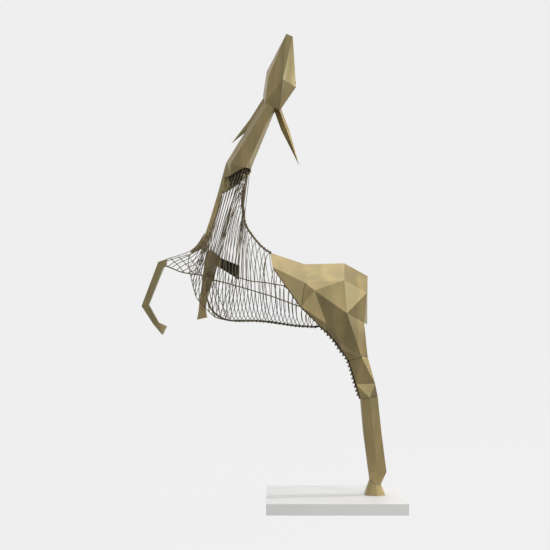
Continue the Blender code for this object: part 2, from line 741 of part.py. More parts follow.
def between(limits, part):
    """A length in metres between two limits given in hundredths."""
    return share(limits[0] + (limits[1] - limits[0]) * part)


def near_throat_wires(near_rod_front):
    """The near wires from sleeve, throat strip and neck rim down to the near stringer."""
    starts = [[place(*point) for point in SLEEVE_TOP], strip_edge(-1), neck_collar()[0]]
    wires = []
    for index in range(NEAR_THROAT_WIRES):
        part = (index + 0.5) / NEAR_THROAT_WIRES
        start = piecewise(starts, [SLEEVE_SHARE, STRIP_SHARE, 1.0], part)
        end = along(near_rod_front, part)
        swell = between(NEAR_SWELL, part)
        if part < SLEEVE_SHARE:
            near = drape(start, end, swell, -1)
            far = drape(start, end, share(SLEEVE_RING_DEPTH), 1)
            wires.append((near + list(reversed(far[1:-1])), True))
        else:
            sag = share(NEAR_SAG) * (part - SLEEVE_SHARE) / (1.0 - SLEEVE_SHARE)
            wires.append((drape(start, end, swell, -1, sag), False))
    return wires


def far_throat_wires(chest_front):
    """The far wires from throat strip and neck rim down to the chest's front rod."""
    starts = [strip_edge(1), list(reversed(neck_collar()[1]))]
    wires = []
    for index in range(FAR_THROAT_WIRES):
        part = (index + 0.5) / FAR_THROAT_WIRES
        start = piecewise(starts, [FAR_STRIP_SHARE, 1.0], part)
        end = along(chest_front, FAR_WIRES_END_FROM + (1.0 - FAR_WIRES_END_FROM) * part)
        wires.append((drape(start, end, between(FAR_SWELL, part), 1), False))
    return wires


def chest_wires(near_rod_front, chest_front):
    """Short wires from the near stringer's front down to the chest's front rod."""
    wires = []
    for index in range(CHEST_WIRES):
        part = (index + 0.5) / CHEST_WIRES
        start = along(near_rod_front[-3:], part)
        end = along(chest_front, CHEST_WIRES_END_FROM + (1.0 - CHEST_WIRES_END_FROM) * part)
        width = abs(start.y)
        wires.append((half_hoop(start, width, end, width * LEAST_SWELL, -1)[0], False))
    return wires


def leg_rungs():
    """The rod down the open front of the hind leg, and the rungs across it."""
    rim = [place(x, y, z) for x, y, z in (RUMP_POINTS[name] for name in RUMP_RIM[2:])]
    off = STRINGER_DIAMETER / 2 + 2 * CLEARANCE
    rod = []
    for index, point in enumerate(rim):
        ahead = rim[min(index + 1, len(rim) - 1)] - rim[max(index - 1, 0)]
        outward = Vector((ahead.z, 0.0, -ahead.x)).normalized()
        rod.append(Vector((point.x, 0.0, point.z)) + outward * off)
    rungs = []
    count = round(line_length(rod) / RUNG_SPACING)
    for index in range(1, count):
        spot = along(rod, index / count)
        half = along(rim, index / count).y
        rungs.append([spot - Vector((0.0, half, 0.0)), spot + Vector((0.0, half, 0.0))])
    return rod, rungs


def cage_lines():
    """Every rod and wire of the cage as (line, diameter, sides, closed), the belly's rod first."""
    back = side_line(BACK_ROD)
    chest = side_line(CHEST_ROD + BELLY_ROD)
    chest_front = [point for point in chest if point.x < place(BELLY_ROD[0][0], 0.0, 0.0).x]
    belly = chest[len(chest_front):]
    near_guide = [place(x, 0.0, z) for x, z in NEAR_STRINGER]
    far_guide = [place(x, 0.0, z) for x, z in FAR_STRINGER]
    leg_rod, rungs = leg_rungs()
    branch = smooth_line([place(*point) for point in BREAST_BRANCH] + belly[:1], ROD_STEPS)
    lines = [(branch + belly[1:] + leg_rod[:1], CONTOUR_ROD_DIAMETER, ROD_SIDES, False)]
    lines.append((back, CONTOUR_ROD_DIAMETER, ROD_SIDES, False))
    lines.append((chest_front + belly[:1], STRINGER_DIAMETER, ROD_SIDES, False))
    lines.append((leg_rod, STRINGER_DIAMETER, ROD_SIDES, False))
    lines.append(([place(*point) for point in SLEEVE_TOP], WIRE_DIAMETER, WIRE_SIDES, False))

    wires, near_crossings, far_crossings = hoop_wires(back, chest, near_guide, far_guide)
    near_front = [place(x, -depth, z) for (x, z), depth in zip(NEAR_STRINGER, NEAR_STRINGER_DEPTHS)]
    near_front.append(near_crossings[0])
    near_rod = near_front + near_crossings[1:] + [rim_points(-1)[2]]
    far_rod = [place(FAR_STRINGER[0][0], FAR_FORELEG[0][2], FAR_STRINGER[0][1])]
    far_rod += far_crossings + [at_x(rim_points(1), far_guide[-1].x)]
    for rod in (near_rod, far_rod):
        lines.append((rod, STRINGER_DIAMETER, WIRE_SIDES, False))

    near_collar, far_collar = neck_collar()
    wires.append((near_collar + far_collar[1:], True))
    wires += near_throat_wires(near_front)
    wires += far_throat_wires(chest_front)
    wires += chest_wires(near_front, chest_front)
    wires += [(rung, False) for rung in rungs]
    lines += [(wire, WIRE_DIAMETER, WIRE_SIDES, closed) for wire, closed in wires]
    return lines


def plinth():
    """The white slab."""
    bm = bmesh.new()
    bmesh.ops.create_cube(bm, size=1.0)
    for vert in bm.verts:
        vert.co = Vector((vert.co.x * PLINTH_LENGTH, vert.co.y * PLINTH_DEPTH,
                          (vert.co.z + 0.5) * PLINTH_THICKNESS))
    return add_object("plinth", bm, WHITE_PAINT)


def hindquarters():
    """Rump, tail, thigh and standing leg, and the form that keeps the wires out of it."""
    bm, opening = hindquarters_form()
    cutter = larger_form("hindquarters_space", bm)
    return sheet_shell("hindquarters_and_hind_leg", bm, opening, BRONZE), cutter


def head_and_neck():
    """Head, ears, neck and throat strip, and the forms that keep the wires out of them."""
    bm, opening = neck_form()
    cutter = larger_form("neck_space", bm)
    piece = sheet_shell("head_and_neck", bm, opening, BRONZE)
    head = convex_form([place(*point) for point in HEAD_POINTS.values()])
    boolean(piece, "UNION", add_cutter("head_form", head))
    for name, ear in EARS.items():
        boolean(piece, "UNION", add_cutter(f"{name}_ear_form", ear_form(ear)))
    return piece, cutter


def near_foreleg():
    """The raised near foreleg, a closed box, and its keep-out form."""
    bm, _ = limb_form(NEAR_FORELEG)
    cutter = larger_form("near_foreleg_space", bm)
    return add_object("near_foreleg", bm, BRONZE), cutter


def far_foreleg():
    """The far foreleg with its open upper arm, and its keep-out form."""
    bm, opening = limb_form(FAR_FORELEG)
    cutter = larger_form("far_foreleg_space", bm)
    piece = sheet_shell("far_foreleg", bm, opening, BRONZE)
    boolean(piece, "DIFFERENCE", mouth_cutter())
    return piece, cutter


def wire_cage(cutters):
    """All rods and wires joined into one solid and cut back from the pieces that they end on."""
    lines = cage_lines()
    guides = bpy.data.collections.new("cage_lines")
    bpy.context.scene.collection.children.link(guides)
    tubes = []
    for index, line in enumerate(lines):
        bm = bmesh.new()
        add_tube(bm, *line)
        tubes.append(add_cutter(f"cage_line_{index}", bm, guides if index else None))
    boolean(tubes[0], "UNION", collection=guides)
    for cutter in cutters:
        boolean(tubes[0], "DIFFERENCE", cutter)
    graph = bpy.context.evaluated_depsgraph_get()
    mesh = bpy.data.meshes.new_from_object(tubes[0].evaluated_get(graph), depsgraph=graph)
    bm = bmesh.new()
    bm.from_mesh(mesh)
    keep_largest(bm)
    cage = add_object("wire_cage", bm, WIRE_BRONZE)
    for tube in tubes:
        bpy.data.objects.remove(tube)
    bpy.data.collections.remove(guides)
    return cage


def keep_largest(bm):
    """Deletes every loose bit but the one with the most corners."""
    unseen = set(bm.verts)
    groups = []
    while unseen:
        group = {unseen.pop()}
        edge_of_group = set(group)
        while edge_of_group:
            reached = {edge.other_vert(vert) for vert in edge_of_group for edge in vert.link_edges}
            edge_of_group = reached - group
            group |= edge_of_group
        unseen -= group
        groups.append(group)
    groups.sort(key=len)
    for group in groups[:-1]:
        bmesh.ops.delete(bm, geom=list(group), context="VERTS")


def main():
    for leftover in list(bpy.data.objects):
        bpy.data.objects.remove(leftover)
    plinth()
    cutters = [make()[1] for make in (hindquarters, head_and_neck, near_foreleg, far_foreleg)]
    wire_cage(cutters)


main()
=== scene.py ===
"""Looks of the rearing deer: folded bronze sheet, a cage of round welded wires and a white plinth.

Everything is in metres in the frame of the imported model: +Z up, the deer faces -X and its near side faces -Y.
"""
import math
import random

import bmesh
import bpy
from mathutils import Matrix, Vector
from mathutils.bvhtree import BVHTree


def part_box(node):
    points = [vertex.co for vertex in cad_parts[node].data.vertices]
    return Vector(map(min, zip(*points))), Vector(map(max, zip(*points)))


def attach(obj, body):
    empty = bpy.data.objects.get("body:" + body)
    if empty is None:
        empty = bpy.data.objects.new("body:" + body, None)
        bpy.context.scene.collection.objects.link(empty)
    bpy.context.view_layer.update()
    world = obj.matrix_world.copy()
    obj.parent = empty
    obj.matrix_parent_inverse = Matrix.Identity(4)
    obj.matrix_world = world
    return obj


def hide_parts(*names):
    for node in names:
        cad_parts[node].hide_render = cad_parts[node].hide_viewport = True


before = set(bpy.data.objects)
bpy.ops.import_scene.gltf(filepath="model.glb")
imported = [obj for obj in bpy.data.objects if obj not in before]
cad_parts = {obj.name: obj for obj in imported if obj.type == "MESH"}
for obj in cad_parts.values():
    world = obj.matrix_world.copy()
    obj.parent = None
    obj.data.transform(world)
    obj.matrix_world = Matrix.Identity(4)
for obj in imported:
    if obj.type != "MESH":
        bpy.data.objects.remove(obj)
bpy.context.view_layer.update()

# The figure's own measures, as the frame has them
PLINTH_LOW, PLINTH_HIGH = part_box("plinth")
HEAD_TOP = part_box("head_and_neck")[1].z
DEER_HEIGHT = HEAD_TOP - PLINTH_HIGH.z
# Where the standing hoof is
HOOF_X = 0.20
# Radii of the near wires, the far wires, the contour rods, and the stringers and leg rod
WIRE_RADIUS = 0.0019
FAR_WIRE_RADIUS = 0.0016
ROD_RADIUS = 0.0045
STRINGER_RADIUS = 0.0028

# The cage's rods in the figure's hundredths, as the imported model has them
BACK_ROD = [(-26.9, 70.4), (-27.7, 69.2), (-28.3, 67.0), (-28.7, 64.5), (-28.6, 62.0), (-28.0, 58.7),
            (-26.8, 56.6), (-25.3, 54.7), (-24.0, 53.4), (-22.5, 52.4)]
CHEST_ROD = [(-39.9, 52.7), (-40.5, 50.5), (-40.0, 47.6), (-39.0, 43.5), (-38.1, 41.9), (-36.3, 40.0),
             (-34.8, 38.6), (-33.0, 38.0)]
BELLY_ROD = [(-30.5, 37.7), (-26.3, 37.7), (-23.4, 37.5), (-20.5, 37.1), (-17.0, 36.6), (-12.7, 36.35)]
BREAST_BRANCH = [(-37.2, 3.2, 43.6), (-36.4, 2.6, 42.0), (-35.7, 1.5, 40.4), (-34.3, 0.6, 39.0),
                 (-32.4, 0.1, 38.0)]
NEAR_STRINGER = [(-44.9, 49.5), (-41.7, 48.2), (-39.6, 47.8), (-37.2, 47.4), (-34.7, 46.5), (-29.4, 45.1),
                 (-22.4, 43.0), (-16.1, 40.7)]
NEAR_STRINGER_DEPTHS = [3.9, 4.3, 4.6, 4.8]
FAR_STRINGER = [(-30.2, 47.4), (-27.2, 46.5), (-24.0, 46.2), (-19.0, 45.3)]
FAR_STRINGER_START_DEPTH = 2.9
HINDQUARTERS_RIM = [(-22.7, 0.0, 52.5), (-22.1, 4.2, 49.2), (-16.1, 6.3, 40.7), (-12.1, 4.2, 36.7)]
LEG_RIM = [(-12.1, 4.2, 36.7), (-10.8, 3.6, 35.7), (-8.9, 3.0, 33.7), (-7.4, 2.6, 31.5), (-5.7, 2.2, 29.1),
           (-4.1, 1.8, 24.0), (-3.1, 1.5, 20.8)]
NECK_RIM_NEAR = [(-32.6, -0.7, 68.6), (-31.2, -1.7, 69.1), (-28.1, -2.6, 70.7), (-26.9, 0.0, 70.6)]
NECK_RIM_FAR = [(-26.9, 0.0, 70.6), (-29.2, 2.4, 68.1), (-31.5, 2.0, 66.5), (-33.2, 0.9, 65.4)]
# Throat strip: front edge, and how far back, down and out its back edges lie
THROAT_FRONT = [(-34.1, 65.3), (-35.7, 60.0), (-36.8, 56.7), (-38.5, 54.2), (-40.1, 52.9)]
THROAT_BACK = [(1.0, -0.5), (1.0, -0.3), (1.1, -0.4), (1.0, -0.8), (0.4, -0.6)]
THROAT_HALF_WIDTHS = [0.75, 0.75, 0.75, 0.65, 0.45]

FIRST_HOOP_X = -34.4
LAST_HOOP_X = -12.9
HOOP_SPACING = 0.0198
RUNG_SPACING = 0.0215
# How far a rung's weld stands out in front of the leg rod
RUNG_PROUD = 0.0045
CAGE_HALF_WIDTHS = [(-40.0, 4.8), (-36.4, 5.3), (-30.0, 5.9), (-22.7, 6.2), (-16.1, 6.6), (-12.1, 4.6)]
# How far a hoop that ends at x bows along the body for each unit that it stands out, on either side
NEAR_HOOP_BOWS = [(-34.4, 0.46), (-28.4, 0.27), (-12.9, 0.26)]
FAR_HOOP_BOWS = [(-34.4, 0.27), (-12.9, 0.26)]
# On the far side the bow fades out towards the back rod, over the upper part of the hoop
FAR_BOW_FADE = 1.5
# Wires of the sleeve, which fan from the throat strip down to the near stringer, and those on its inner side
SLEEVE_WIRES = [
    [(-37.7, -0.8, 54.3), (-38.7, -1.7, 53.0), (-39.9, -2.5, 51.9), (-41.4, -3.1, 51.2), (-42.8, -3.5, 50.5),
     (-43.9, -3.8, 49.8), (-44.6, -3.9, 49.2)],
    [(-37.3, -0.8, 55.1), (-37.8, -1.7, 53.2), (-39.1, -2.5, 51.8), (-40.5, -3.1, 50.9), (-41.8, -3.5, 50.3),
     (-43.0, -3.8, 49.6), (-43.9, -3.9, 48.9)],
    [(-36.6, -0.8, 56.1), (-37.2, -1.9, 53.6), (-38.2, -2.8, 51.6), (-39.6, -3.4, 50.4), (-41.1, -3.7, 49.7),
     (-42.7, -3.9, 48.6)],
    [(-36.2, -0.8, 57.4), (-36.5, -1.9, 54.3), (-37.3, -2.8, 51.6), (-38.8, -3.4, 49.9), (-40.2, -3.7, 49.0),
     (-41.6, -3.9, 48.2)],
    [(-35.7, -0.8, 58.5), (-36.1, -1.9, 55.1), (-36.7, -2.8, 52.1), (-37.9, -3.4, 49.5), (-39.2, -3.7, 48.4),
     (-40.5, -3.9, 47.9)],
    [(-35.3, -0.8, 59.5), (-35.7, -1.9, 55.8), (-36.2, -2.8, 52.3), (-37.1, -3.4, 49.5), (-38.3, -3.7, 48.0),
     (-39.4, -3.9, 47.7)],
]
SLEEVE_INNER_WIRES = [
    [(-44.1, -3.5, 51.2), (-42.8, -2.2, 50.0), (-41.0, -4.2, 48.1)],
    [(-42.5, -2.2, 51.6), (-40.9, -1.4, 50.0), (-38.9, -4.3, 47.6)],
    [(-40.9, -0.8, 52.2), (-39.1, -1.2, 50.1), (-37.0, -4.7, 47.2)],
]
# Rods that carry the throat strip's line on to the near foreleg
SLEEVE_RODS = [
    [(-36.9, -0.5, 56.7), (-38.4, -0.6, 54.3), (-39.9, -0.5, 52.9), (-42.0, -2.6, 51.9), (-44.9, -3.9, 50.9)],
    [(-36.2, -0.9, 56.3), (-37.8, -1.1, 53.7), (-39.4, -1.4, 52.3), (-41.8, -2.9, 51.5), (-44.9, -3.9, 50.5)],
]
# Near wires past the sleeve: how many start on the throat strip and on the neck's rim, the share of that line
# where the first starts, the shares of the near stringer's front between which they end, and how far they
# swell out and sag
STRIP_WIRES = 6
STRIP_START = 0.25
STRIP_ENDS = (0.58, 0.84)
NECK_WIRES = 9
NECK_START = 0.0
NECK_ENDS = (0.84, 1.0)
NEAR_SWELL = (0.5, 1.1)
NEAR_SAG = 0.6
# Far wires: how many, the share that starts on the throat strip, how far they swell out from the first to the
# last, and the share of the chest's front rod where the first ends
FAR_THROAT_WIRES = 16
FAR_STRIP_SHARE = 0.3
FAR_SWELL = (2.0, 4.6)
FAR_WIRES_END_FROM = 0.15
# Wires from the near stringer down to the chest's front rod
CHEST_WIRES = 9
CHEST_WIRES_END_FROM = 0.3
CHEST_SWELL = 0.45
# A hoop swells at least this much wider than the rim that it starts on
LEAST_SWELL = 1.02
# How far, in hoop spacings, the near and the far hoop of a pair start from their middle on the back rod
HOOP_STAGGER = 0.22
# The share of the hoop spacing and of the hoop's width by which hand work is uneven
UNEVEN_SPACING = 0.12
UNEVEN_WIDTH = 0.04
UNEVEN_SEED = 5
# Short wires that wrap the far shin's rear edge: how many, between which heights, and one tie's course, with
# its heights measured from the tie's own
SHIN_TIES = 11
SHIN_TIE_HEIGHTS = (44.6, 49.4)
SHIN_TIE = [(-36.7, 2.5, -0.3), (-35.7, 2.35, 0.4), (-35.05, 2.9, 0.85), (-34.9, 3.6, 0.9)]
# The back rod is widened to a flat strip here. Its ends are this share of its width, and it widens from them
# at this rate. Its thickness is a share of the rod's.
STRIP_HEIGHTS = (59.8, 66.4)
STRIP_HALF_WIDTH = 0.0075
STRIP_END_SHARE = 0.35
STRIP_WIDENING = 2.2
STRIP_THICKNESS_SHARE = 0.8
# The leg rod lies this far in front of the sheet's rim. Its direction at a rung is taken over this share of
# the rungs' spacing to either side.
LEG_ROD_GAP = 0.001
LOOK_AHEAD = 0.3
# The chest's wires start on this many last points of the near stringer's front, and the near stringer ends at
# this corner of the hindquarters' rim
CHEST_WIRE_POINTS = 3
STRINGER_END_CORNER = 2
# Steps along a half hoop, a draped wire, a wound end, and each stretch of the smooth lines
HALF_HOOP_STEPS = 22
DRAPE_STEPS = 14
WRAP_STEPS = 12
SIDE_LINE_STEPS = 8
RIM_STEPS = 5
TIE_STEPS = 4
STRINGER_STEPS = 4
LEG_STEPS = 6
# Turns of a wound wire end, how far it sits out from the rod and how far it moves on with each turn, both in
# wire radii, and how much thicker than the wire it is on a contour rod and on the leg rod
WRAP_TURNS = 1.3
WRAP_SEAT = 0.7
WRAP_PITCH = 2.1
WRAP_THICKER = 1.15
RUNG_WRAP_THICKER = 1.2
# Sides of the tubes
WIRE_SIDES = 6
CHEST_WIRE_SIDES = 8
ROD_SIDES = 12
LEG_ROD_SIDES = 10
STRINGER_SIDES = 8
# Share of its radius by which a rod swells and thins, and the two waves that make it uneven
ROD_BUMPS = 0.06
STRINGER_BUMPS = 0.05
BUMP_WAVES = (2.4, 0.9)
# Sizes of the weld beads, as shares of the radius of what they join
STRINGER_BEAD = 1.35
RIM_BEAD = 1.9
RUNG_BEAD = 1.7
# A hoop that starts further out than this starts on the sheet's rim and not on the back rod
OFF_MIDDLE = 0.01

# Weld seams of the hindquarters, along its folds
SEAMS = [
    [(-15.3, 4.6, 45.9), (-16.1, 6.3, 40.7)],
    [(-5.7, 2.2, 29.1), (-3.1, 3.3, 29.9), (-1.7, 2.0, 30.1)],
    [(-3.1, 1.5, 20.8), (-1.2, 2.0, 21.1), (0.5, 1.5, 21.5)],
    [(-1.1, 0.7, 3.2), (0.1, 1.5, 2.3), (1.3, 0.7, 2.3)],
]
# The far foreleg's upper arm stays closed, but from here on its faces that look this much or more to the near
# side are painted in deep shade, as if the arm lay open there
ARM_SHADE_X = -33.3
SHADE_FACING = 0.3
# The neck is hollow up to here, and its inner skin gets the painted shade only below this height
NECK_HOLLOW_TOP = 71.0
SEAM_RADIUS = 0.0016
SEAM_STEP = 0.006
SEAM_SIDES = 6
SEAM_BUMPS = 0.3
# Rays that tell a sheet's inner skin from its outer one
RAYS = 9
RAY_SPREAD = 0.8
RAY_OFFSET = 0.0002
# Points this close are merged, and so are faces that bend by less than this many degrees
SAME_POINT = 0.00002
FLAT_ANGLE = 0.8
# Rounding of the folds that bend by more than this many degrees, and of the plinth's edges
FOLD_ANGLE = 7.0
FOLD_WIDTH = 0.0012
FOLD_SEGMENTS = 2
PLINTH_EDGE = 0.0015
PLINTH_EDGE_SEGMENTS = 3

# Noise of the finishes: scale, detail and, where it is stretched, its stretch along the axes
CLOUD = (2.2, 5.0)
STREAKS = (14.0, 3.0, (1.0, 1.0, 0.12))
GRAIN = (260.0, 3.0, (1.0, 1.0, 0.35))
WAVES = (6.5, 1.0)
PATCHES = (3.0, 3.0)
PAINT_GRAIN = (420.0, 2.0)
# The stretch of each noise over which one colour turns into the other
CLOUD_RANGE = (0.32, 0.68)
STREAK_RANGE = (0.45, 0.85)
PATCH_RANGE = (0.3, 0.7)
METALLIC = 0.9
COAT = 0.65
COAT_ROUGHNESS = 0.35
# How much lighter a rubbed streak is, and how much smoother and rougher the streaks make the metal
STREAK_GAIN = 1.4
SMOOTHER = 0.06
ROUGHER = 0.08
# The shallow waves of the sheet are this many times as high as its fine texture
WAVE_HEIGHT_SHARE = 40
WAVE_STRENGTH = 0.35
GRAIN_STRENGTH = 0.25
PAINT_LIGHT = (0.90, 0.90, 0.895, 1.0)
PAINT_GREYED = (0.84, 0.84, 0.835, 1.0)
PAINT_ROUGHNESS = 0.55
PAINT_GRAIN_STRENGTH = 0.15
PAINT_GRAIN_HEIGHT = 0.0004
# Height of the fine ground texture on sheet and on wire
SHEET_GRAIN_HEIGHT = 0.0005
WIRE_GRAIN_HEIGHT = 0.0002

# The camera, and how far its frame is shifted up, as a share of the picture's width
CAMERA_PLACE = (-0.298, -5.0, 0.9965)
CAMERA_LENS = 65.45
CAMERA_SENSOR = 36.0
CAMERA_SHIFT = 31.0 / 550.0
CAMERA_REACH = 100.0
# The stage: how far it goes to the sides, its floor's front and back edges, and the sweep up behind it
STAGE_REACH = 14.0
FLOOR_FRONT = -9.0
FLOOR_BACK = 4.0
SWEEP_RADIUS = 3.0
SWEEP_STEPS = 8
BACKDROP_TOP = 9.0
SURROUND_SEGMENTS = 64
PALE_GLOW = 0.86
# A dim floor just under the pale one, which the figure's reflections see
DIM_GLOW = 0.24
DIM_DROP = 0.004
STAGE_COLOR = 0.02
STAGE_GLOW_STRENGTH = 0.99
WORLD_TONE = 0.86
WORLD_STRENGTH = 0.48
WARM = (1.0, 0.985, 0.96)
NEUTRAL = (1.0, 0.985, 0.97)
# Each light's name, place, target, size, power in watts, colour and spread in degrees
LIGHTS = [
    ("top_light", (0.2, 0.4, 4.6), (-0.1, 0.0, 1.2), 3.0, 46.0, NEUTRAL, 180.0),
    ("right_light", (2.2, -1.8, 3.4), (0.1, 0.0, 0.4), 0.3, 18.0, WARM, 180.0),
    ("right_back_light", (3.0, 0.35, 2.2), (0.1, 0.0, 0.4), 0.2, 42.0, WARM, 180.0),
    ("front_light", (0.9, -4.4, 1.5), (0.1, 0.0, 0.1), 1.2, 3.3, WARM, 40.0),
    ("left_light", (-3.6, -1.4, 1.7), (-0.3, 0.0, 1.3), 1.5, 8.0, WARM, 180.0),
]


def place(x, y, z):
    """A point in metres from hundredths of the deer's height, measured from the standing hoof."""
    scale = DEER_HEIGHT / 100.0
    return Vector((HOOF_X + x * scale, y * scale, PLINTH_HIGH.z + z * scale))


def make_camera():
    """The photograph's view: level, square to the figure's side, 5 m away."""
    camera = bpy.data.cameras.new("camera")
    camera.lens = CAMERA_LENS
    camera.sensor_width = CAMERA_SENSOR
    camera.shift_y = CAMERA_SHIFT
    camera.clip_end = CAMERA_REACH
    made = bpy.data.objects.new("camera", camera)
    bpy.context.scene.collection.objects.link(made)
    made.location = CAMERA_PLACE
    made.rotation_euler = (math.radians(90.0), 0.0, 0.0)
    bpy.context.scene.camera = made


def area_light(name, location, target, size, power, color, spread):
    """A soft square light that faces the target and spreads over so many degrees."""
    light = bpy.data.lights.new(name, "AREA")
    light.size = size
    light.energy = power
    light.color = color
    light.spread = math.radians(spread)
    made = bpy.data.objects.new(name, light)
    bpy.context.scene.collection.objects.link(made)
    made.location = location
    made.rotation_euler = (Vector(target) - Vector(location)).to_track_quat("-Z", "Y").to_euler()


def stage_piece(name, points, material):
    """A wide strip of the stage along a profile of (y, z) points."""
    bm = bmesh.new()
    rows = [[bm.verts.new((x, y, z)) for x in (-STAGE_REACH, STAGE_REACH)] for y, z in points]
    for a, b in zip(rows, rows[1:]):
        bm.faces.new((a[0], a[1], b[1], b[0]))
    mesh = bpy.data.meshes.new(name)
    bm.to_mesh(mesh)
    mesh.shade_smooth()
    mesh.materials.append(material)
    made = bpy.data.objects.new(name, mesh)
    bpy.context.scene.collection.objects.link(made)
    return made


def surround(material):
    """A pale drum round the whole stage, so that every view has the same background."""
    bm = bmesh.new()
    bmesh.ops.create_cone(bm, cap_ends=True, segments=SURROUND_SEGMENTS, radius1=STAGE_REACH,
                          radius2=STAGE_REACH, depth=2 * STAGE_REACH)
    mesh = mesh_of("surround", bm)
    mesh.materials.append(material)
    made = bpy.data.objects.new("surround", mesh)
    bpy.context.scene.collection.objects.link(made)
    return made


def stage_paint(name, glow):
    """Flat paint that glows evenly, so that the stage keeps one tone."""
    paint = bpy.data.materials.new(name)
    paint.use_nodes = True
    shader = paint.node_tree.nodes["Principled BSDF"]
    shader.inputs["Base Color"].default_value = (STAGE_COLOR, STAGE_COLOR, STAGE_COLOR, 1.0)
    shader.inputs["Roughness"].default_value = 1.0
    shader.inputs["Specular IOR Level"].default_value = 0.0
    shader.inputs["Emission Color"].default_value = (glow, glow, glow, 1.0)
    shader.inputs["Emission Strength"].default_value = STAGE_GLOW_STRENGTH
    return paint


def make_stage():
    """A pale floor that sweeps up behind the figure, a dim one under it for its reflections, and soft light.

    The pale floor and the surround are seen by the camera and take no part in the light on the figure.
    """
    pale = stage_paint("pale_stage", PALE_GLOW)
    for piece in (stage_piece("floor", [(FLOOR_FRONT, 0.0), (FLOOR_BACK, 0.0)], pale), surround(pale)):
        piece.visible_diffuse = False
        piece.visible_glossy = False
        piece.visible_shadow = False
    stage_piece("dim_floor", [(FLOOR_FRONT, -DIM_DROP), (FLOOR_BACK, -DIM_DROP)],
                stage_paint("dim_stage", DIM_GLOW))
    sweep = [(FLOOR_BACK, 0.0)]
    for step in range(1, SWEEP_STEPS + 1):
        angle = math.pi / 2 * step / SWEEP_STEPS
        y = FLOOR_BACK + SWEEP_RADIUS * math.sin(angle)
        sweep.append((y, SWEEP_RADIUS - SWEEP_RADIUS * math.cos(angle)))
    sweep.append((FLOOR_BACK + SWEEP_RADIUS, BACKDROP_TOP))
    stage_piece("backdrop", sweep, pale)

    world = bpy.data.worlds.new("studio")
    bpy.context.scene.world = world
    world.use_nodes = True
    background = world.node_tree.nodes["Background"]
    background.inputs["Color"].default_value = (WORLD_TONE, WORLD_TONE, WORLD_TONE, 1.0)
    background.inputs["Strength"].default_value = WORLD_STRENGTH
    bpy.context.scene.view_settings.view_transform = "Standard"
    for light in LIGHTS:
        area_light(*light)


def mix_color(nodes, links, factor, first, second):
    """A mix of two colours by a factor socket."""
    mix = nodes.new("ShaderNodeMix")
    mix.data_type = "RGBA"
    links.new(factor, mix.inputs[0])
    for socket, color in ((mix.inputs[6], first), (mix.inputs[7], second)):
        if isinstance(color, tuple):
            socket.default_value = color
        else:
            links.new(color, socket)
    return mix.outputs[2]


def ramp(nodes, links, factor, limits):
    """Stretches a factor so that it runs from 0 at the lower limit to 1 at the upper."""
    spread = nodes.new("ShaderNodeMapRange")
    links.new(factor, spread.inputs["Value"])
    spread.inputs["From Min"].default_value = limits[0]
    spread.inputs["From Max"].default_value = limits[1]
    return spread.outputs["Result"]


def noise(nodes, links, coords, scale, detail, stretch=(1.0, 1.0, 1.0)):
    """Noise in object space, stretched along the axes."""
    mapping = nodes.new("ShaderNodeMapping")
    mapping.inputs["Scale"].default_value = stretch
    links.new(coords, mapping.inputs["Vector"])
    texture = nodes.new("ShaderNodeTexNoise")
    texture.inputs["Scale"].default_value = scale
    texture.inputs["Detail"].default_value = detail
    links.new(mapping.outputs["Vector"], texture.inputs["Vector"])
    return texture.outputs["Fac"]


def bronze(name, light, dark, roughness, bump_height):
    """Satin bronze: cloudy patina, faint rubbed streaks, shallow waves and a fine ground texture."""
    made = bpy.data.materials.new(name)
    made.use_nodes = True
    nodes, links = made.node_tree.nodes, made.node_tree.links
    shader = nodes["Principled BSDF"]
    shader.inputs["Metallic"].default_value = METALLIC
    shader.inputs["Coat Weight"].default_value = COAT
    shader.inputs["Coat Roughness"].default_value = COAT_ROUGHNESS
    coords = nodes.new("ShaderNodeTexCoord").outputs["Object"]
    cloud = noise(nodes, links, coords, *CLOUD)
    streak = noise(nodes, links, coords, *STREAKS)
    grain = noise(nodes, links, coords, *GRAIN)
    base = mix_color(nodes, links, ramp(nodes, links, cloud, CLOUD_RANGE), light, dark)
    rubbed = tuple(channel * STREAK_GAIN for channel in light[:3]) + (1.0,)
    streaked = mix_color(nodes, links, ramp(nodes, links, streak, STREAK_RANGE), base, rubbed)
    links.new(streaked, shader.inputs["Base Color"])
    rough = nodes.new("ShaderNodeMapRange")
    links.new(streak, rough.inputs["Value"])
    rough.inputs["To Min"].default_value = roughness - SMOOTHER
    rough.inputs["To Max"].default_value = roughness + ROUGHER
    links.new(rough.outputs["Result"], shader.inputs["Roughness"])
    waves = nodes.new("ShaderNodeBump")
    waves.inputs["Strength"].default_value = WAVE_STRENGTH
    waves.inputs["Distance"].default_value = bump_height * WAVE_HEIGHT_SHARE
    links.new(noise(nodes, links, coords, *WAVES), waves.inputs["Height"])
    bump = nodes.new("ShaderNodeBump")
    bump.inputs["Strength"].default_value = GRAIN_STRENGTH
    bump.inputs["Distance"].default_value = bump_height
    links.new(grain, bump.inputs["Height"])
    links.new(waves.outputs["Normal"], bump.inputs["Normal"])
    links.new(bump.outputs["Normal"], shader.inputs["Normal"])
    return made


